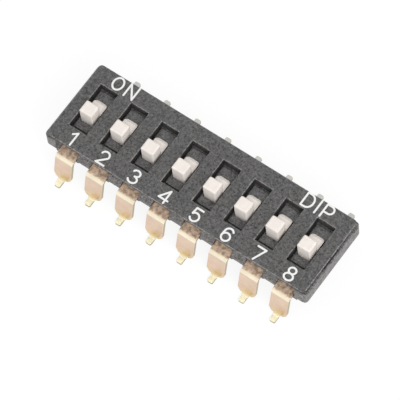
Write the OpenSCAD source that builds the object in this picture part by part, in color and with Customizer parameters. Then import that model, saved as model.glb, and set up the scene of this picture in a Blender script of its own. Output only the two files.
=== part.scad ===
// Slide DIP switch for surface mounting: a row of raised slides in windows, gull-wing terminals on two sides.
// X runs along the row from position 1, +Y points to the ON side, Z = 0 is the plane the toes stand on.

/* [Switch row] */
// Number of positions
positions = 8; // [2:1:12]
// Distance between neighbouring positions
pitch = 2.54; // [2.4:0.01:3.5]
// How far a slide moves from OFF to ON
travel = 0.9; // [0.7:0.05:1.1]

/* [Base] */
// Width of the base over its side walls
body_width = 6.4; // [6.2:0.1:9]
// From the centre of the last position to the end face
end_margin = 1.81; // [1.7:0.01:3]
// Width of the narrow lower part between the terminals
waist_width = 5; // [4.9:0.1:5.4]
// How far the lower part stands back at each end
waist_end_inset = 0.65; // [0.3:0.05:0.7]
// Free height under the base
standoff = 0.15; // [0.05:0.05:0.3]
// Length of the cell under each window, front to back
cell_length = 4.5; // [4.4:0.05:4.6]
// Thickness of the ribs between the cells
rib = 0.6; // [0.4:0.05:0.7]
// How far the recess over the terminals cuts into each side wall
recess_depth = 0.5; // [0.3:0.05:0.62]
// From the centre of the last terminal to the end of the recess
recess_margin = 0.87; // [0.8:0.01:1]
// How far the ledge that the terminals lie in stands back from the side wall
ledge_inset = 0.1; // [0.05:0.01:0.2]
// Height of the ledge
ledge_height = 0.48; // [0.35:0.01:0.6]
// How far the ledge slopes up to the recess's back wall between the terminals
ledge_slope = 0.42; // [0.1:0.01:0.6]
// How far the ledge runs on under the posts at the recess's ends
ledge_overlap = 0.12; // [0.05:0.01:0.3]
// Height of the arches under the ledge between the terminals
arch_rise = 0.18; // [0.05:0.01:0.25]
// Width of the foot of the ledge that is left beside a terminal
arch_land = 0.1; // [0.08:0.01:0.15]
// Radius of the upright corners of the base
corner_radius = 0.35; // [0.2:0.05:0.5]
// Depth of the hollows in the underside
core_depth = 1.2; // [0.4:0.1:1.3]
// Width of the hollows in the underside
core_width = 1.5; // [0.8:0.1:1.6]
// Length of the hollows in the underside
core_length = 3.4; // [2:0.1:4]

/* [Lid] */
// Height of the lid's top face over the seating plane
body_height = 3.8; // [3.7:0.05:5]
// Thickness of the lid's rim
rim = 0.12; // [0.08:0.01:0.2]
// Height of the groove between the rim and the base
groove_height = 0.2; // [0.1:0.01:0.28]
// Depth of that groove
groove_depth = 0.2; // [0.1:0.01:0.3]
// How far the rim stands back from the base's ends
rim_inset_ends = 0.15; // [0.05:0.01:0.25]
// How far the rim stands back from the base's side walls
rim_inset_sides = 0.06; // [0.02:0.01:0.2]
// Length of a window, along the slide's travel
window_length = 3.64; // [3.3:0.02:3.7]
// Width of a window
window_width = 1.44; // [1.3:0.01:1.5]
// How far the windows sit from the middle of the lid, towards ON
window_offset = 0.07; // [0:0.01:0.1]
// How far each window sits from its slide's middle, towards position 1
window_shift = 0.02; // [0:0.01:0.04]
// Depth of the deck's surface below the lid's top face
window_depth = 0.6; // [0.45:0.05:0.65]
// Thickness of the deck
deck = 0.25; // [0.2:0.01:0.35]
// Width of the groove across the deck's front end
front_groove = 0.31; // [0.1:0.01:0.35]
// Width of the groove across the deck's rear end
rear_groove = 0.2; // [0.1:0.01:0.25]
// Width of the grooves along the deck's sides
side_groove = 0.1; // [0.05:0.01:0.12]
// Depth of the grooves round the deck
groove_sink = 0.16; // [0.1:0.01:0.18]
// Chamfer round the edges of the windows and of the lid
edge_chamfer = 0.06; // [0.02:0.01:0.07]

/* [Slides] */
// Height of the grip over the lid's top face
grip_rise = 0.83; // [0.3:0.01:1.2]
// Length of the grip along its travel
grip_length = 0.94; // [0.8:0.01:1]
// Width of the grip and of the stem under it
grip_width = 1.02; // [0.7:0.01:1.08]
// How far the middle of the travel sits behind the window's middle
travel_offset = 0.035; // [0:0.005:0.05]
// Length of the stem under the grip that runs in the deck
stem_length = 0.74; // [0.6:0.01:0.78]
// Width of the low step behind the grip
step_width = 1.04; // [0.92:0.01:1.08]
// Thickness of the low step
step_height = 0.16; // [0.1:0.01:0.25]
// Length of the slope at the back end of the step
step_slope = 0.2; // [0.05:0.01:0.25]
// Radius of the step's two back corners, seen from above
step_corner = 0.25; // [0.05:0.01:0.3]
// Radius of the grip's top edges
grip_round = 0.12; // [0.05:0.01:0.2]
// Radius of the grip's two upright front corners
grip_corner = 0.07; // [0.05:0.01:0.2]
// Radius of the grip's two upright back corners
grip_back_corner = 0.2; // [0.05:0.01:0.25]
// Width of the foot under the deck
foot_width = 1.6; // [1.3:0.05:1.65]
// How far the foot reaches behind the stem
foot_tail = 0.7; // [0.4:0.05:0.75]

/* [Terminals] */
// Length of the flat part of a toe
toe_length = 0.46; // [0.3:0.02:1.2]
// Thickness of the terminals' sheet metal
sheet = 0.2; // [0.15:0.01:0.25]
// Width of the plate outside the body
lead_width = 1.42; // [1:0.02:1.44]
// Width of the toe that is soldered
toe_width = 0.44; // [0.3:0.02:0.6]
// Width of the tab inside the body
tab_width = 1; // [0.7:0.05:1.1]
// Height of the top of the run where it leaves the body
exit_height = 2.3; // [1.8:0.05:2.35]
// How far outside the base's side wall the first bend starts
bend_offset = 0.06; // [0:0.01:0.3]
// Outer radius of the first bend
exit_bend = 0.38; // [0.25:0.01:0.6]
// Inner radius of the bend into the toe
toe_bend = 0.25; // [0.1:0.01:0.3]
// How far the plate leans outwards from upright, in degrees
splay = 13.7; // [5:0.1:16]
// Radius of the plate's lower corners
shoulder = 0.34; // [0.2:0.01:0.4]
// Height of the plate's lower edge
shoulder_low = 0.26; // [0.24:0.01:0.4]

/* [Contact springs] */
// Thickness of the spring strip
spring_sheet = 0.08; // [0.05:0.01:0.1]
// Width of the spring strip
spring_width = 0.5; // [0.4:0.05:0.8]
// Height of the spring from the terminals to the slide's foot
spring_height = 0.38; // [0.34:0.01:0.42]
// Distance between the two points of contact
contact_spacing = 1.1; // [1.05:0.01:1.2]
// Slope of the spring's arms, in degrees
spring_slope = 65; // [62:1:72]

/* [Fits] */
// Gap round the stem in the deck and under the deck
running_gap = 0.04; // [0.03:0.01:0.06]
// Gap under the low step, over the deck
step_gap = 0.08; // [0.05:0.01:0.1]
// Gap between the low step and the window's rear end, with the slide at ON
step_end_gap = 0.03; // [0.02:0.01:0.06]
// Gap between the lid's plugs and the cells, and round the latches
lid_gap = 0.03; // [0.02:0.01:0.05]
// Gap round the terminals where they are held in the base
seat_gap = 0.01; // [0.005:0.005:0.03]
// Gap at both sides of a terminal in the ledge
ledge_gap = 0.03; // [0.01:0.01:0.05]
// Gap between a contact point and the terminal it rubs on
contact_gap = 0.01; // [0.005:0.005:0.02]

/* [Hidden] */
$fn = 32;
eps = 0.01;
numbers = [for (i = [1:positions]) i];
row_half = (positions - 1) * pitch / 2;
body_half_length = row_half + end_margin;
body_half_width = body_width / 2;

// Heights, from the lid downwards
base_top = body_height - rim - groove_height;
deck_top = body_height - window_depth;
deck_bottom = deck_top - deck;
foot_top = deck_bottom - running_gap;
foot_bottom = exit_height + contact_gap + spring_height;
step_bottom = deck_top + step_gap;
grip_top = body_height + grip_rise;
cell_floor = exit_height - sheet * 0.4;
underside_chamfer = 0.06;
waist_chamfer = 0.15;

// Lengths along the travel, for a slide at OFF
travel_middle = window_offset + travel_offset;
grip_middle = travel_middle - travel / 2;
grip_front = grip_middle - grip_length / 2;
step_back = window_offset + window_length / 2 - travel - step_end_gap;
foot_front = grip_front - travel - 2 * running_gap;
stem_back = grip_front + stem_length;
foot_back = stem_back + foot_tail;
tab_gap = 0.45;
tab_gap_middle = travel_middle + contact_spacing / 2;

cell_width = pitch - rib;
recess_half_length = row_half + recess_margin;
ledge_half_width = body_half_width - ledge_inset;
ledge_bottom = exit_height - ledge_height;
ledge_half_length = recess_half_length + ledge_overlap;
arch_width = pitch - lead_width - 2 * arch_land;

// The lid's latches, measured inwards from the under-plate's ends
plate_half_length = body_half_length - rim_inset_ends - groove_depth;
latch_sheet = 0.25;
latch_width = 1.6;
latch_drop = 0.92;
hook_reach = 0.14;
hook_height = 0.2;
hook_grip = 0.08;
lead_in_height = 0.17;
lead_in_reach = 0.22;

// Peg that holds the spring under the slide's foot
peg_radius = 0.1;
peg_gap = 0.02;
contact_radius = 0.14;

function row_x(i) = (i - (positions + 1) / 2) * pitch;
function direction(angle) = [cos(angle), sin(angle)];

// Extrudes a side view, drawn as [Y, Z], along X
module along_x(length) rotate([90, 0, 90]) linear_extrude(length, center = true) children();

// Extrudes a front view, drawn as [X, Z], along Y
module along_y(length) rotate([90, 0, 0]) linear_extrude(length, center = true) children();

// Rectangle with round corners, centred on the origin
module soft_square(size, radius) {
    square([size.x - 2 * radius, size.y], center = true);
    square([size.x, size.y - 2 * radius], center = true);
    for (x = [-1, 1], y = [-1, 1])
        translate([x * (size.x / 2 - radius), y * (size.y / 2 - radius)])
            circle(radius);
}

// Upright section of half width w between two heights, with chamfered bottom and top edges
module chamfered_section(w, low, high, bottom_chamfer, top_chamfer) {
    polygon([
        [-w + bottom_chamfer, low], [w - bottom_chamfer, low], [w, low + bottom_chamfer],
        [w, high - top_chamfer], [w - top_chamfer, high], [-w + top_chamfer, high],
        [-w, high - top_chamfer], [-w, low + bottom_chamfer]
    ]);
}

// Block with chamfered bottom and top edges and round upright corners
module moulded_block(half_length, half_width, low, high, bottom_chamfer, top_chamfer, corner) {
    intersection() {
        along_x(2 * half_length) chamfered_section(half_width, low, high, bottom_chamfer, top_chamfer);
        along_y(2 * half_width) chamfered_section(half_length, low, high, bottom_chamfer, top_chamfer);
        translate([0, 0, low])
            linear_extrude(high - low) soft_square([2 * half_length, 2 * half_width], corner);
    }
}

// Part of a ring between two angles that are under 180 degrees apart
module ring_part(inner, outer, from, to) {
    reach = outer / cos((to - from) / 4) + eps;
    intersection() {
        difference() {
            circle(outer);
            if (inner > 0) circle(inner);
        }
        polygon(concat([[0, 0]], [for (k = [0:2]) reach * direction(from + (to - from) * k / 2)]));
    }
}

// ---------------------------------------------------------------- base

module base() {
    color("#48484b")
        difference() {
            union() {
                moulded_block(body_half_length, body_half_width, exit_height, base_top,
                    underside_chamfer, edge_chamfer, corner_radius);
                moulded_block(body_half_length - waist_end_inset, waist_width / 2,
                    standoff, exit_height + eps, waist_chamfer, 0, corner_radius);
                translate([-ledge_half_length, -ledge_half_width, ledge_bottom])
                    cube([2 * ledge_half_length, 2 * ledge_half_width, ledge_height]);
            }
            for (i = numbers) translate([row_x(i), 0, 0]) {
                cell();
                terminal_seat();
                terminal_bay();
                mirror([0, 1, 0]) terminal_bay();
                underside_hollow();
            }
            for (side = [0, 1]) mirror([0, side, 0]) {
                side_recess();
                for (i = [1:positions - 1]) translate([row_x(i + 0.5), 0, 0]) arch();
            }
            latch_slot();
            mirror([1, 0, 0]) latch_slot();
        }
}

// The space that a slide's foot and its spring move in
module cell() {
    translate([-cell_width / 2, -cell_length / 2, cell_floor])
        cube([cell_width, cell_length, base_top]);
}

// The long recess in the rear side wall, whose floor slopes up from the ledge to its back wall
module side_recess() {
    back = body_half_width - recess_depth;
    along_x(2 * recess_half_length)
        polygon([
            [body_half_width + 1, exit_height], [ledge_half_width, exit_height],
            [back, exit_height + ledge_slope], [back, body_height], [body_half_width + 1, body_height]
        ]);
}

// The level bay in the recess over a rear terminal
module terminal_bay() {
    width = lead_width + 2 * ledge_gap;
    translate([-width / 2, body_half_width - recess_depth, exit_height - eps])
        cube([width, recess_depth, base_top]);
}

// The arch under the rear ledge between two terminals
module arch() {
    radius = arch_rise * 0.8;
    length = ledge_half_width - waist_width / 2 + 1;
    translate([0, waist_width / 2 + length / 2, ledge_bottom])
        along_y(length) soft_square([arch_width, 2 * arch_rise], radius);
}

// The channel for the inner tabs of both terminals, and the slots in the ledges for their outer parts
module terminal_seat() {
    height = sheet + 2 * seat_gap;
    tab_slot = tab_width + 2 * seat_gap;
    outer_slot = lead_width + 2 * ledge_gap;
    outer_length = body_half_width - waist_width / 2;
    translate([0, 0, exit_height - sheet / 2]) {
        cube([tab_slot, waist_width + 2 * eps, height], center = true);
        for (side = [-1, 1])
            translate([0, side * (waist_width + outer_length) / 2, 0])
                cube([outer_slot, outer_length, height], center = true);
    }
}

module underside_hollow() {
    translate([-core_width / 2, -core_length / 2, 0])
        cube([core_width, core_length, standoff + core_depth]);
}

// The slot in an end wall that a latch of the lid snaps into
module latch_slot() {
    inner = plate_half_length - latch_sheet - lid_gap;
    width = latch_width + 2 * lid_gap;
    hook_low = base_top - latch_drop;
    translate([inner, -width / 2, hook_low - lid_gap])
        cube([plate_half_length + hook_reach - hook_grip - inner, width, base_top]);
    translate([inner, -width / 2, hook_low - lid_gap])
        cube([plate_half_length + hook_reach + lid_gap - inner, width, hook_height + 2 * lid_gap]);
    translate([inner, -width / 2, base_top - lead_in_height])
        cube([plate_half_length + lead_in_reach - inner, width, base_top]);
}

// ---------------------------------------------------------------- cover

module cover() {
    half_length = body_half_length - rim_inset_ends;
    half_width = body_half_width - rim_inset_sides;
    color("#4d4d50")
        difference() {
            union() {
                moulded_block(half_length, half_width, body_height - rim, body_height,
                    0, edge_chamfer, corner_radius);
                moulded_block(plate_half_length, half_width - groove_depth,
                    base_top, body_height - rim + eps, 0, 0, corner_radius / 2);
                for (i = numbers) translate([row_x(i), 0, 0]) deck_plug();
                latch();
                mirror([1, 0, 0]) latch();
            }
            for (i = numbers) translate([row_x(i), 0, 0]) {
                translate([-window_shift, window_offset, 0]) window();
                deck_opening();
            }
        }
}

// The block under the lid that closes a cell and carries the deck
module deck_plug() {
    translate([-cell_width / 2 + lid_gap, -cell_length / 2 + lid_gap, deck_bottom])
        cube([cell_width - 2 * lid_gap, cell_length - 2 * lid_gap, base_top - deck_bottom + eps]);
}

// A window with its chamfered edge and the grooves round its deck
module window() {
    half_width = window_width / 2;
    half_length = window_length / 2;
    translate([-half_width, -half_length, deck_top])
        cube([window_width, window_length, body_height]);
    intersection() {
        along_y(window_length + 1) window_edge(half_width);
        along_x(window_width + 1) window_edge(half_length);
    }
    translate([-half_width, -half_length, deck_top - groove_sink])
        cube([window_width, front_groove, groove_sink + eps]);
    translate([-half_width, half_length - rear_groove, deck_top - groove_sink])
        cube([window_width, rear_groove, groove_sink + eps]);
    for (x = [-half_width, half_width - side_groove])
        translate([x, -half_length, deck_top - groove_sink])
            cube([side_groove, window_length, groove_sink + eps]);
}

// The opening in the deck that a slide's stem runs in
module deck_opening() {
    width = grip_width + 2 * running_gap;
    translate([-width / 2, grip_front - running_gap, deck_bottom - eps])
        cube([width, stem_length + travel + 2 * running_gap, deck + 2 * eps]);
}

// Section of the flared top edge of a window of half size w
module window_edge(w) {
    polygon([
        [-w, body_height - edge_chamfer], [w, body_height - edge_chamfer],
        [w + edge_chamfer + eps, body_height + eps], [-w - edge_chamfer - eps, body_height + eps]
    ]);
}

// A snap latch under one end of the lid, with its hook
module latch() {
    hook_low = base_top - latch_drop;
    translate([plate_half_length - latch_sheet, -latch_width / 2, hook_low])
        cube([latch_sheet, latch_width, latch_drop + eps]);
    translate([plate_half_length - eps, 0, hook_low])
        along_y(latch_width)
            polygon([[0, 0], [hook_reach * 0.4, 0], [hook_reach, hook_height * 0.5],
                [hook_reach, hook_height], [0, hook_height]]);
}

// ---------------------------------------------------------------- slides and their springs

// The slide of one position, at OFF
module slide(i) {
    color("#efe8df")
        translate([row_x(i), 0, 0]) {
            grip();
            low_step();
            stem_and_foot();
            peg();
        }
}

// The tall grip: round top edges, small front corners and larger back corners
module grip() {
    bottom = step_bottom;
    size = [grip_width, grip_length, grip_top - bottom];
    translate([0, grip_middle, bottom])
        intersection() {
            linear_extrude(size.z) {
                soft_square([size.x, size.y], grip_back_corner);
                translate([0, -size.y / 4]) soft_square([size.x, size.y / 2], grip_corner);
            }
            along_x(size.x) dome_section(size.y, size.z);
            along_y(size.y) dome_section(size.x, size.z);
        }
}

// Upright section of the grip, with its two top corners rounded
module dome_section(width, height) {
    translate([0, height / 2 - grip_round])
        soft_square([width, height + 2 * grip_round], grip_round);
}

// The low step behind the grip, with a slope and round corners at its back end
module low_step() {
    length = step_back - grip_middle;
    back_edge = step_height / 4;
    translate([0, grip_middle, step_bottom])
        intersection() {
            translate([0, length / 2, 0])
                linear_extrude(step_height) soft_square([step_width, length], step_corner);
            along_x(step_width + eps)
                polygon([
                    [0, 0], [length, 0], [length, back_edge],
                    [length - step_slope, step_height], [0, step_height]
                ]);
        }
}

module stem_and_foot() {
    translate([0, grip_front + stem_length / 2, foot_top - eps])
        linear_extrude(step_bottom - foot_top + 2 * eps) soft_square([grip_width, stem_length], grip_corner);
    translate([-foot_width / 2, foot_front, foot_bottom])
        cube([foot_width, foot_back - foot_front, foot_top - foot_bottom]);
}

module peg() {
    translate([0, grip_middle, foot_bottom - 1.5 * spring_sheet])
        cylinder(r = peg_radius, h = 1.5 * spring_sheet + eps);
}

// The bridge under one slide that joins its two terminals at ON
module contact_spring(i) {
    color("#b8864b")
        translate([row_x(i), grip_middle, exit_height + contact_gap])
            difference() {
                along_x(spring_width) {
                    spring_arm();
                    mirror([1, 0, 0]) spring_arm();
                }
                cylinder(r = peg_radius + peg_gap, h = spring_height + 1);
            }
}

// Half of the spring's side view: flat middle, sloping arm, round contact point, raised tip
module spring_arm() {
    arm = (spring_height - spring_sheet - contact_radius * (1 - cos(spring_slope))) / sin(spring_slope);
    knee = contact_spacing / 2 - arm * cos(spring_slope) - contact_radius * sin(spring_slope);
    tip_turn = 50;
    translate([-eps, spring_height - spring_sheet]) square([knee + eps, spring_sheet]);
    translate([knee, spring_height - spring_sheet]) ring_part(0, spring_sheet, 90 - spring_slope, 90);
    translate([contact_spacing / 2, contact_radius]) {
        rotate(-spring_slope) translate([-arm, -contact_radius]) square([arm, spring_sheet]);
        ring_part(contact_radius - spring_sheet, contact_radius, 270 - spring_slope, 270 + tip_turn);
    }
}

// ---------------------------------------------------------------- terminals

// A terminal of the rear row, its inner tab ending at the given Y; the front row is its mirror image
module terminal(inner_end) {
    bend_start = body_half_width + bend_offset;
    bends = exit_bend + toe_bend;
    plate_length = (exit_height - bends - sheet + bends * sin(splay)) / cos(splay);
    toe_start = bend_start + bends * cos(splay) + plate_length * sin(splay);
    toe_end = toe_start + toe_length;
    color("#d8b072")
        intersection() {
            along_x(lead_width) terminal_side(inner_end, bend_start, plate_length, toe_start, toe_end);
            translate([0, toe_end / 2, 0]) along_y(toe_end + 2) terminal_front();
            linear_extrude(exit_height) terminal_plan(inner_end, toe_start, toe_end);
        }
}

// Side view: run, bend, leaning plate, bend and toe
module terminal_side(inner_end, bend_start, plate_length, toe_start, toe_end) {
    translate([inner_end, exit_height - sheet]) square([bend_start - inner_end, sheet]);
    translate([bend_start, exit_height - exit_bend]) {
        ring_part(exit_bend - sheet, exit_bend, splay, 90);
        rotate(splay)
            translate([exit_bend - sheet, -plate_length - eps]) square([sheet, plate_length + eps]);
    }
    translate([toe_start, toe_bend + sheet]) ring_part(toe_bend, toe_bend + sheet, 180 + splay, 270);
    translate([toe_start, 0]) square([toe_end - toe_start, sheet]);
}

// Front view: a wide plate with round lower corners that narrows into the toe
module terminal_front() {
    fillet = 0.12;
    straight = lead_width / 2 - shoulder;
    translate([-lead_width / 2, shoulder_low + shoulder]) square([lead_width, exit_height]);
    translate([-straight, shoulder_low]) square([2 * straight, shoulder + eps]);
    translate([-toe_width / 2, -eps]) square([toe_width, shoulder_low + shoulder]);
    for (side = [-1, 1]) translate([side * straight, shoulder_low + shoulder]) circle(shoulder);
    difference() {
        translate([-toe_width / 2 - fillet, shoulder_low - fillet])
            square([toe_width + 2 * fillet, fillet + eps]);
        for (side = [-1, 1])
            translate([side * (toe_width / 2 + fillet), shoulder_low - fillet]) circle(fillet);
    }
}

// Seen from above: a narrow tab inside the body, the full width outside it, and a toe with round corners
module terminal_plan(inner_end, toe_start, toe_end) {
    tab_end = waist_width / 2 + seat_gap;
    toe_corner = toe_width / 4;
    translate([-tab_width / 2, inner_end]) square([tab_width, tab_end - inner_end + eps]);
    translate([-lead_width / 2, tab_end]) square([lead_width, toe_start - tab_end]);
    translate([0, toe_end - toe_length])
        soft_square([toe_width, 2 * toe_length], toe_corner);
}

module front_terminal(i) {
    translate([row_x(i), 0, 0]) mirror([0, 1, 0]) terminal(tab_gap / 2 - tab_gap_middle);
}

module rear_terminal(i) {
    translate([row_x(i), 0, 0]) terminal(tab_gap_middle + tab_gap / 2);
}

base();
cover();
for (i = numbers) {
    slide(i);
    contact_spring(i);
    front_terminal(i);
    rear_terminal(i);
}
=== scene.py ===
"""Looks of the slide DIP switch: materials, printed legends, camera, lamps and floor.

Lengths are in metres in the CAD's frame, except where a comment says mm.
"""

import math

import bmesh
import bpy
from mathutils import Matrix, Vector


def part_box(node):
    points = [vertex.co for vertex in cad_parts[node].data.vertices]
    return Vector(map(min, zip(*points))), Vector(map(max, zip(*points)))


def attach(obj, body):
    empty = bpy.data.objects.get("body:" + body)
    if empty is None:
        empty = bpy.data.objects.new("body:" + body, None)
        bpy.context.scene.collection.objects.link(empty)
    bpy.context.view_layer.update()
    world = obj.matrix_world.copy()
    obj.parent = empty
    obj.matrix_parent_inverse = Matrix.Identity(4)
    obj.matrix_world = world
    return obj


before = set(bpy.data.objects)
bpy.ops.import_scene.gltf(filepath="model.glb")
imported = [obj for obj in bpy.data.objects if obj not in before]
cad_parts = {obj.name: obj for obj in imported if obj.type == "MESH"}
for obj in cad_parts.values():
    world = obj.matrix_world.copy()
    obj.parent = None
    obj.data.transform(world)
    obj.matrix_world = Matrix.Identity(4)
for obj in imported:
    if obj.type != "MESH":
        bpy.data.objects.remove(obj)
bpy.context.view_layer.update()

MM = 0.001
POSITIONS = sum(1 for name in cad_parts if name.startswith("front_terminal_"))
HOUSING = "housing"
LID_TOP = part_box("cover")[1][2]

# ---------------------------------------------------------------- node helpers

# Sockets of the Mix node for colours, whose names stand for several sockets each.
MIX_FACTOR, MIX_FIRST, MIX_SECOND, MIX_RESULT = 0, 6, 7, 2


class Nodes:
    """A short way to build a material's or the world's node tree."""

    def __init__(self, owner):
        owner.use_nodes = True
        self.tree = owner.node_tree
        self.tree.nodes.clear()

    def add(self, kind, inputs=None, **settings):
        node = self.tree.nodes.new(kind)
        for key, value in settings.items():
            setattr(node, key, value)
        for key, value in (inputs or {}).items():
            socket = node.inputs[key]
            if isinstance(value, bpy.types.NodeSocket):
                self.tree.links.new(value, socket)
            else:
                socket.default_value = value
        return node

    def noise(self, coordinates, scale, detail=3.0, roughness=0.55):
        inputs = {"Vector": coordinates, "Scale": scale, "Detail": detail, "Roughness": roughness}
        return self.add("ShaderNodeTexNoise", inputs).outputs["Fac"]

    def ramp(self, factor, stops):
        node = self.add("ShaderNodeValToRGB", {"Fac": factor})
        elements = node.color_ramp.elements
        while len(elements) < len(stops):
            elements.new(0.5)
        for element, (position, colour) in zip(elements, stops):
            element.position = position
            element.color = (*colour, 1)
        return node.outputs["Color"]

    def spread(self, value, low, high, start=0.0, stop=1.0):
        """Goes from low to high while the value goes from start to stop, and stays there."""
        inputs = {
            "Value": value, "From Min": start, "From Max": stop, "To Min": low, "To Max": high,
        }
        return self.add("ShaderNodeMapRange", inputs).outputs["Result"]

    def times(self, colours, factor):
        inputs = {0: colours, "Scale": factor}
        return self.add("ShaderNodeVectorMath", inputs, operation="SCALE").outputs["Vector"]

    def maths(self, operation, *values, **settings):
        inputs = dict(enumerate(values))
        node = self.add("ShaderNodeMath", inputs, operation=operation, **settings)
        return node.outputs["Value"]

    def mix_values(self, factor, first, second):
        inputs = {"Factor": factor, "A": first, "B": second}
        return self.add("ShaderNodeMix", inputs, data_type="FLOAT").outputs["Result"]

    def mix_colours(self, factor, first, second):
        inputs = {MIX_FACTOR: factor, MIX_FIRST: first, MIX_SECOND: second}
        return self.add("ShaderNodeMix", inputs, data_type="RGBA").outputs[MIX_RESULT]

    def place(self):
        return self.add("ShaderNodeTexCoord").outputs["Object"]

    def axes(self, vector):
        return self.add("ShaderNodeSeparateXYZ", {0: vector}).outputs

    def facing(self):
        """The X, Y and Z of the direction that the flat face looks in."""
        return self.axes(self.add("ShaderNodeNewGeometry").outputs["True Normal"])

    def rounded(self, radius):
        """The surface's direction with its edges shaded as if rounded."""
        node = self.add("ShaderNodeBevel", {"Radius": radius}, samples=EDGE_SAMPLES)
        return node.outputs["Normal"]

    def seen(self):
        """1 for what the camera sees directly, in a reflection or through glass, else 0."""
        path = self.add("ShaderNodeLightPath").outputs
        direct = self.maths("MAXIMUM", path["Is Camera Ray"], path["Is Glossy Ray"], use_clamp=True)
        return self.maths("MAXIMUM", direct, path["Is Transmission Ray"], use_clamp=True)


# ---------------------------------------------------------------- materials

EDGE_SAMPLES = 6                  # samples of the rounded edges' shading
GRAIN_HEIGHT = 0.02 * MM          # height of the plastics' grain
GRAIN_FINENESS = 2.2              # how much finer the grain is than the blotches
GLOSS_SWING = 0.08                # how far a plastic's roughness wanders both ways
STREAK_HEIGHT = 0.01 * MM         # height of the strip's rolling streaks
STREAK_STRETCH = (5.0, 1.0, 1.0)  # they are this much narrower across the strip
STREAK_SCALE, CLOUD_SCALE, FILM_SCALE = 700.0, 1800.0, 3800.0   # fineness of the strip's noises
NOISE_RANGE = (0.34, 0.5, 0.66)   # a noise texture's usual low, middle and high values
FILM_RANGE = (0.38, 0.5, 0.62)    # the same for the film's noise, so that its stains are stronger
DECK_TO_TOP = (LID_TOP - 0.5 * MM, LID_TOP - 0.3 * MM)   # between them the deck's shade fades out


def scaled(colour, factor):
    return tuple(min(1.0, c * factor) for c in colour)


def plastic(name, colour, spread, roughness, grain, specular, edge=0.0, blotch=5200.0, painted_shades=None):
    """Moulded plastic: blotches and fine grain in its colour, gloss and surface, soft edges."""
    material = bpy.data.materials.new(name)
    n = Nodes(material)
    place = n.place()
    cloud = n.noise(place, blotch, 3.0, 0.6)
    fine = n.noise(place, GRAIN_FINENESS * blotch, 2.0)
    both = n.mix_values(0.5, cloud, fine)
    tones = (scaled(colour, 1 - spread), colour, scaled(colour, 1 + spread))
    colours = n.ramp(both, list(zip(NOISE_RANGE, tones)))
    # Painted light and shade, where given: darker walls, brighter chamfers and brighter sunk decks.
    if painted_shades:
        colours = n.times(colours, painted_face_shade(n, place, **painted_shades))
    bump_inputs = {"Strength": grain, "Distance": GRAIN_HEIGHT, "Height": both}
    if edge:
        bump_inputs["Normal"] = n.rounded(edge)
    bump = n.add("ShaderNodeBump", bump_inputs).outputs["Normal"]
    shader = n.add("ShaderNodeBsdfPrincipled", {
        "Base Color": colours,
        "Roughness": n.spread(cloud, roughness - GLOSS_SWING, roughness + GLOSS_SWING),
        "Specular IOR Level": specular,
        "Normal": bump,
    })
    n.add("ShaderNodeOutputMaterial", {"Surface": shader.outputs["BSDF"]})
    return material


def painted_face_shade(n, place, front_wall, side_wall, chamfer, deck):
    """How bright the lid's walls, chamfers and decks are painted against its top: painted shade on
    the walls, deeper on the side walls than on the walls that face the front, a painted highlight
    on the chamfers and painted light on the sunk decks.

    The slope is 0 on a wall, about 0.7 on a chamfer, and 1 on the top and on the decks.
    """
    facing = n.facing()
    slope = facing["Z"]
    height = n.axes(place)["Z"]
    walls = n.spread(facing["Y"], front_wall, side_wall, -0.8, -0.2)
    sides = n.spread(slope, walls, chamfer, 0.3, 0.6)
    flats = n.spread(slope, 0.0, 1 - chamfer, 0.8, 0.95)
    level = n.spread(slope, 0.0, 1.0, 0.8, 0.95)
    sunk = n.spread(height, deck - 1, 0.0, *DECK_TO_TOP)
    lower = n.maths("MULTIPLY", level, sunk)
    return n.maths("ADD", n.maths("ADD", sides, flats), lower)


def sheet_metal(name, zones, roughness, grain, edge, film=None):
    """Gold plated strip: tints by height, cloudy plating, painted shade on its upright cut faces,
    faint streaks and a film on its run.
    """
    material = bpy.data.materials.new(name)
    n = Nodes(material)
    place = n.place()
    height = n.axes(place)["Z"]
    mapping = n.add("ShaderNodeMapping", {"Vector": place, "Scale": STREAK_STRETCH})
    streaks = n.noise(mapping.outputs["Vector"], STREAK_SCALE, 3.0)
    cloud = n.noise(place, CLOUD_SCALE, 3.0)
    top = zones[-1][0]
    share = n.spread(height, 0.0, 1.0, 0.0, top * MM)
    colours = n.ramp(share, [(at / top, tint) for at, tint in zones])
    colours = n.times(colours, n.spread(cloud, 0.95, 1.04, 0.35, 0.65))
    # Painted shade: the upright faces where the strip was cut are painted darker.
    level = n.maths("ABSOLUTE", n.facing()["Z"])
    colours = n.mix_colours(n.spread(level, 0.0, 1.0, 0.08, 0.16), (*CUT_EDGE_SHADE, 1), colours)
    rough = n.spread(streaks, roughness - 0.06, roughness + 0.08)
    metal = 1.0
    if film:
        dull = n.spread(height, 0.0, 1.0, RUN_LOW, RUN_HIGH)
        stains = n.ramp(n.noise(place, FILM_SCALE, 2.0, 0.7), list(zip(FILM_RANGE, film)))
        colours = n.mix_colours(dull, colours, stains)
        rough = n.mix_values(dull, rough, FILM_ROUGHNESS)
        metal = n.spread(height, 1.0, FILM_METAL, RUN_LOW, RUN_HIGH)
    bump = n.add("ShaderNodeBump", {
        "Strength": grain, "Distance": STREAK_HEIGHT, "Height": streaks, "Normal": n.rounded(edge),
    }).outputs["Normal"]
    shader = n.add("ShaderNodeBsdfPrincipled", {
        "Base Color": colours, "Metallic": metal, "Roughness": rough, "Normal": bump,
    })
    n.add("ShaderNodeOutputMaterial", {"Surface": shader.outputs["BSDF"]})
    return material


# The terminals' level run: the heights where the plating turns dull, and its stained film.
RUN_LOW, RUN_HIGH = 2.255 * MM, 2.295 * MM
FILM_ROUGHNESS, FILM_METAL = 0.6, 0.35
RUN_FILM = ((0.38, 0.28, 0.21), (0.61, 0.45, 0.33), (0.82, 0.62, 0.46))

# The upright faces where the strip was cut, painted darker: a painted shade along the strip's
# edges.
CUT_EDGE_SHADE = (0.45, 0.41, 0.26)
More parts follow.
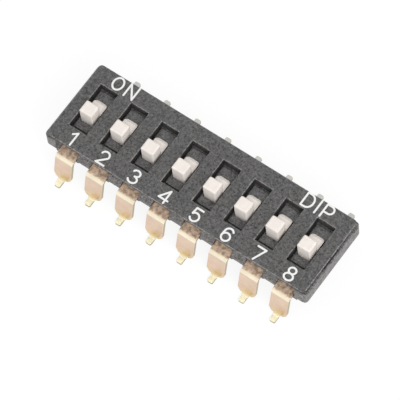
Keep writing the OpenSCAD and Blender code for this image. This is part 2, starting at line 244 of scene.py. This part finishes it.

# The plating's tints from the toe up to the bend, each with its height in mm. The pale cream band
# from about 2.07 to 2.235 mm is a painted highlight on the bend.
UPPER_TINTS = [(0.50, (0.77, 0.59, 0.39)), (0.90, (0.76, 0.575, 0.45)), (2.00, (0.77, 0.605, 0.47)),
               (2.07, (0.96, 0.88, 0.70)), (2.20, (0.95, 0.86, 0.68)), (2.235, (0.91, 0.80, 0.61)),
               (2.27, (0.84, 0.71, 0.52)), (2.30, (0.78, 0.65, 0.48))]
FRONT_TINTS = [(0.20, (0.885, 0.84, 0.62)), (0.235, (0.86, 0.72, 0.44)), (0.28, (0.79, 0.61, 0.33)),
               (0.42, (0.79, 0.62, 0.45))] + UPPER_TINTS
# The rear toes are painted grey up to 0.2 mm, fading to gold by 0.32 mm: a painted dark reflection.
REAR_TINTS = [(0.20, (0.42, 0.41, 0.39)), (0.32, (0.66, 0.55, 0.40))] + UPPER_TINTS

# The lid's window walls carry painted shade, its chamfers a painted highlight and its sunk decks
# painted light.
LID = plastic("lid_plastic", (0.086, 0.084, 0.083), spread=0.85, roughness=0.50, grain=0.6,
              specular=0.45, edge=0.02 * MM,
              painted_shades={"front_wall": 0.72, "side_wall": 0.36, "chamfer": 2.2, "deck": 1.35})
BODY = plastic("body_plastic", (0.152, 0.144, 0.142), spread=0.9, roughness=0.40, grain=0.5,
               specular=0.45, edge=0.04 * MM)
SLIDE = plastic("slide_plastic", (0.865, 0.803, 0.752), spread=0.04, roughness=0.62, grain=0.25,
                specular=0.22, edge=0.03 * MM, blotch=1500.0)
FRONT_GOLD = sheet_metal("gold_plate", FRONT_TINTS, roughness=0.30, grain=0.15,
                         edge=0.025 * MM, film=RUN_FILM)
REAR_GOLD = sheet_metal("rear_gold_plate", REAR_TINTS, roughness=0.30, grain=0.15,
                        edge=0.025 * MM, film=RUN_FILM)
SPRING = sheet_metal("spring_plate", [(0.0, (0.80, 0.60, 0.36)), (3.0, (0.90, 0.70, 0.44))],
                     roughness=0.3, grain=0.3, edge=0.01 * MM)
PRINT = plastic("legend_print", (0.86, 0.86, 0.85), spread=0.05, roughness=0.6, grain=0.5,
                specular=0.3)

LOOKS = {
    "base": BODY, "cover": LID, "slide": SLIDE, "contact_spring": SPRING,
    "front_terminal": FRONT_GOLD, "rear_terminal": REAR_GOLD,
}

for node_name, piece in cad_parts.items():
    look = LOOKS[node_name.rstrip("0123456789").rstrip("_")]
    for material_slot in piece.material_slots:
        material_slot.material = look

# ---------------------------------------------------------------- printed legends

STROKE = 0.068       # half the width of a printed line, mm
PRINT_RISE = 0.006   # height of the print over the lid, mm
PRINT_ROOT = 0.002   # how far the print's edge reaches into the lid, mm
LAYER = 0.001        # each further line of a character lies this much higher, mm
WELD = 0.0001        # points of a character nearer than this become one, mm
SHARP = 0.35         # turns over this angle get a round outer corner, radians
FAN_STEP = 0.3       # largest angle between two points of a round end or corner, radians


def arc(cx, cy, rx, ry, start, end, steps=14):
    angles = [math.radians(start + (end - start) * k / steps) for k in range(steps + 1)]
    return [(cx + rx * math.cos(a), cy + ry * math.sin(a)) for a in angles]


def loop(cx, cy, rx, ry, steps=36):
    return arc(cx, cy, rx, ry, 0, 360, steps)[:-1]


def fan(centre, first, last):
    """Points round a centre, from one offset to another, the short way."""
    angle = math.atan2(first.x * last.y - first.y * last.x, first.dot(last))
    steps = max(2, int(abs(angle) / FAN_STEP))
    return [centre + Matrix.Rotation(angle * k / steps, 2) @ first for k in range(steps + 1)]


def side_of(line, closed, side):
    """The line's edge on one side: side is 1 for the left and -1 for the right."""
    out = []
    count = len(line)
    for k, here in enumerate(line):
        into = (here - line[k - 1]).normalized() if closed or k > 0 else None
        on = (line[(k + 1) % count] - here).normalized() if closed or k < count - 1 else None
        before, after = [Vector((-d.y, d.x)) * side * STROKE if d else None for d in (into, on)]
        if before is None or after is None:
            out.append(here + (before or after))
            continue
        turn = math.atan2(into.x * on.y - into.y * on.x, into.dot(on))
        if turn * side < -SHARP:
            out += fan(here, before, after)
        else:
            middle = before + after
            out.append(here + middle * (2 * STROKE ** 2 / middle.length_squared))
    return out


def outlines(points, closed):
    """A printed line's closed outlines: one with round ends, or an outer and an inner one."""
    line = [Vector(point) for point in points]
    left, right = side_of(line, closed, 1), side_of(line, closed, -1)
    if closed:
        return [left, right]
    first, last = line[0], line[-1]
    head = (line[1] - first).normalized() * STROKE
    tail = (last - line[-2]).normalized() * STROKE
    end_cap = fan(last, left[-1] - last, tail) + fan(last, tail, right[-1] - last)[1:]
    start_cap = fan(first, right[0] - first, -head) + fan(first, -head, left[0] - first)[1:]
    return [left[1:-1] + end_cap + right[-2:0:-1] + start_cap]


def legend(name, strokes):
    """One printed character: flat lines with round ends, lying on the lid."""
    parts = []
    for layer, (points, closed) in enumerate(strokes):
        curve = bpy.data.curves.new(name, "CURVE")
        curve.dimensions = "2D"
        curve.fill_mode = "BOTH"
        thickness = (PRINT_RISE + PRINT_ROOT + LAYER * layer) * MM
        curve.extrude = thickness / 2
        for outline in outlines(points, closed):
            spline = curve.splines.new("POLY")
            spline.points.add(len(outline) - 1)
            spline.use_cyclic_u = True
            for spot, at in zip(spline.points, outline):
                spot.co = (at.x * MM, at.y * MM, 0, 1)
        drawn = bpy.data.objects.new(name + "_line", curve)
        bpy.context.scene.collection.objects.link(drawn)
        evaluated = drawn.evaluated_get(bpy.context.evaluated_depsgraph_get())
        mesh = bpy.data.meshes.new_from_object(evaluated)
        bpy.data.objects.remove(drawn)
        mesh.transform(Matrix.Translation((0, 0, LID_TOP - PRINT_ROOT * MM + thickness / 2)))
        parts.append(mesh)
    shape = bmesh.new()
    for mesh in parts:
        shape.from_mesh(mesh)
    bmesh.ops.remove_doubles(shape, verts=shape.verts, dist=WELD * MM)
    joined = bpy.data.meshes.new(name)
    shape.to_mesh(joined)
    shape.free()
    joined.materials.append(PRINT)
    piece = bpy.data.objects.new(name, joined)
    bpy.context.scene.collection.objects.link(piece)
    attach(piece, HOUSING)
    return piece


LETTER_LOW, LETTER_HIGH = 2.04, 3.05   # feet and tops of the letters, mm
DIGIT_LOW = -2.98                      # feet of the digits, mm


def placed(x, y, strokes):
    return [([(px + x, py + y) for px, py in points], closed) for points, closed in strokes]


# Each character is a list of lines; True closes a line. The letters are in the lid's millimetres.
LETTERS = {
    "letter_o": [(loop(-8.65, 2.54, 0.37, 0.47), True)],
    "letter_n": [([(-7.87, LETTER_LOW), (-7.87, LETTER_HIGH),
                   (-7.20, LETTER_LOW), (-7.20, LETTER_HIGH)], False)],
    "letter_d": [([(6.64, LETTER_LOW), (6.64, LETTER_HIGH)]
                  + arc(6.93, 2.545, 0.42, 0.505, 90, -90), True)],
    "letter_i": [([(7.745, LETTER_LOW), (7.745, LETTER_HIGH)], False)],
    "letter_p": [([(8.185, LETTER_LOW), (8.185, LETTER_HIGH)], False),
                 ([(8.185, LETTER_HIGH)] + arc(8.54, 2.755, 0.30, 0.295, 90, -90)
                  + [(8.185, 2.46)], False)],
}

# Each digit: how far it stands to the right of its terminal's middle, and its lines.
DIGITS = {
    1: (0.15, [([(-0.22, 0.76), (0.06, 0.98)], False), ([(0.08, 1.0), (0.08, 0.0)], False)]),
    2: (0.15, [(arc(0, 0.69, 0.30, 0.29, 168, -24) + [(-0.32, 0.0), (0.34, 0.0)], False)]),
    3: (0.14, [(arc(0, 0.76, 0.28, 0.235, 158, -90), False),
               (arc(0, 0.265, 0.33, 0.26, 88, -160), False)]),
    4: (0.15, [([(0.16, 0.98), (-0.37, 0.25), (0.35, 0.25)], False),
               ([(0.165, 0.98), (0.165, 0.0)], False)]),
    5: (0.11, [([(0.29, 0.98), (-0.22, 0.98), (-0.27, 0.52)], False),
               (arc(0.0, 0.33, 0.32, 0.32, 146, -152), False)]),
    6: (0.11, [(loop(0, 0.30, 0.31, 0.30), True),
               (arc(0.02, 0.66, 0.31, 0.32, 32, 180) + [(-0.31, 0.32)], False)]),
    7: (0.09, [([(-0.32, 0.98), (0.32, 0.98), (-0.11, 0.0)], False)]),
    8: (0.12, [(loop(0, 0.755, 0.26, 0.235), True), (loop(0, 0.262, 0.32, 0.262), True)]),
}

for name, strokes in LETTERS.items():
    legend(name, strokes)
for number in range(1, POSITIONS + 1):
    low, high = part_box(f"front_terminal_{number}")
    middle = (low[0] + high[0]) / 2 / MM
    shift, strokes = DIGITS[number]
    legend(f"digit_{number}", placed(middle + shift, DIGIT_LOW, strokes))

# ---------------------------------------------------------------- camera

AZIMUTH, ELEVATION, ROLL = math.radians(42.6228), math.radians(63.8973), math.radians(-7.8342)
DISTANCE = 254.8747 * MM                  # from the lid's centre to the lens
SENSOR, LENS = 36.0, 345.2301             # width of the sensor and focal length, mm
AIM = (-0.05126 * MM, -1.55584 * MM)      # from the lid's centre to the picture's middle

back = Vector((math.sin(AZIMUTH) * math.cos(ELEVATION), -math.cos(AZIMUTH) * math.cos(ELEVATION),
               math.sin(ELEVATION)))
flat_right = Vector((math.cos(AZIMUTH), math.sin(AZIMUTH), 0))
flat_up = back.cross(flat_right)
right = flat_right * math.cos(ROLL) + flat_up * math.sin(ROLL)
up = flat_up * math.cos(ROLL) - flat_right * math.sin(ROLL)

# The lens looks at the picture's middle, which lies a little under the lid's centre.
look = (-back * DISTANCE + right * AIM[0] + up * AIM[1]).normalized()
right = (right - look * right.dot(look)).normalized()
up = right.cross(look)

camera = bpy.data.cameras.new("camera")
camera.sensor_width = SENSOR
camera.lens = LENS
camera.clip_start = 0.01
camera.clip_end = 20
eye = bpy.data.objects.new("camera", camera)
bpy.context.scene.collection.objects.link(eye)
eye.matrix_world = Matrix((
    (right.x, up.x, -look.x, back.x * DISTANCE),
    (right.y, up.y, -look.y, back.y * DISTANCE),
    (right.z, up.z, -look.z, back.z * DISTANCE + LID_TOP),
    (0, 0, 0, 1),
))
bpy.context.scene.camera = eye

# ---------------------------------------------------------------- lamps


def lamp(name, at, size, power, colour):
    """A square soft lamp that faces the middle of the part."""
    data = bpy.data.lights.new(name, "AREA")
    data.shape = "SQUARE"
    data.size = size
    data.energy = power
    data.color = colour
    thing = bpy.data.objects.new(name, data)
    thing.location = at
    thing.rotation_euler = (-Vector(at)).to_track_quat("-Z", "Y").to_euler()
    bpy.context.scene.collection.objects.link(thing)
    return thing


lamp("key_lamp", at=(0.145, -0.1, 0.155), size=0.16, power=0.29, colour=(1.0, 0.99, 0.985))
# The top lamp gives no reflections, and the card gives nothing else.
fill = lamp("top_lamp", at=(-0.12, -0.16, 0.42), size=0.20, power=0.06, colour=(0.97, 1.0, 1.03))
fill.visible_glossy = False
shine = lamp("toe_card", at=(-0.12, 0.13, 0.42), size=0.20, power=0.08, colour=(1.0, 1.0, 1.0))
shine.visible_diffuse = False

# ---------------------------------------------------------------- floor and world

FLOOR_REACH = 1.5         # half the floor's width
FLOOR_GAP = 0.01 * MM     # how far the floor lies under the toes
FLOOR_SHADE = 0.14        # how much of the light the floor shows where it is seen
FLOOR_GLOW = 0.88         # and the plain white under that
FLOOR_BOUNCE = 0.82       # how much light the floor throws back at the part
WORLD_LIGHT = 0.70        # strength of the even light from all round


def grey(level):
    return (level, level, level, 1)


corners = [(-1, -1), (1, -1), (1, 1), (-1, 1)]
floor_mesh = bpy.data.meshes.new("floor")
floor_mesh.from_pydata([(x * FLOOR_REACH, y * FLOOR_REACH, 0) for x, y in corners], [],
                       [(0, 1, 2, 3)])
floor = bpy.data.objects.new("floor", floor_mesh)
floor.location.z = -FLOOR_GAP
bpy.context.scene.collection.objects.link(floor)
paper = bpy.data.materials.new("white_sweep")
n = Nodes(paper)
bounce = n.add("ShaderNodeBsdfDiffuse", {"Color": grey(FLOOR_BOUNCE)}).outputs["BSDF"]
shade = n.add("ShaderNodeBsdfDiffuse", {"Color": grey(FLOOR_SHADE)}).outputs["BSDF"]
glow = n.add("ShaderNodeEmission", {"Color": grey(1), "Strength": FLOOR_GLOW}).outputs["Emission"]
shown = n.add("ShaderNodeAddShader", {0: shade, 1: glow}).outputs["Shader"]
mixed = n.add("ShaderNodeMixShader", {0: n.seen(), 1: bounce, 2: shown}).outputs["Shader"]
n.add("ShaderNodeOutputMaterial", {"Surface": mixed})
floor_mesh.materials.append(paper)

world = bpy.data.worlds.new("studio")
bpy.context.scene.world = world
n = Nodes(world)
soft, white = [
    n.add("ShaderNodeBackground", {"Color": grey(1), "Strength": strength}).outputs["Background"]
    for strength in (WORLD_LIGHT, 1.0)
]
mixed = n.add("ShaderNodeMixShader", {0: n.seen(), 1: soft, 2: white}).outputs["Shader"]
n.add("ShaderNodeOutputWorld", {"Surface": mixed})

bpy.context.scene.view_settings.view_transform = "Standard"
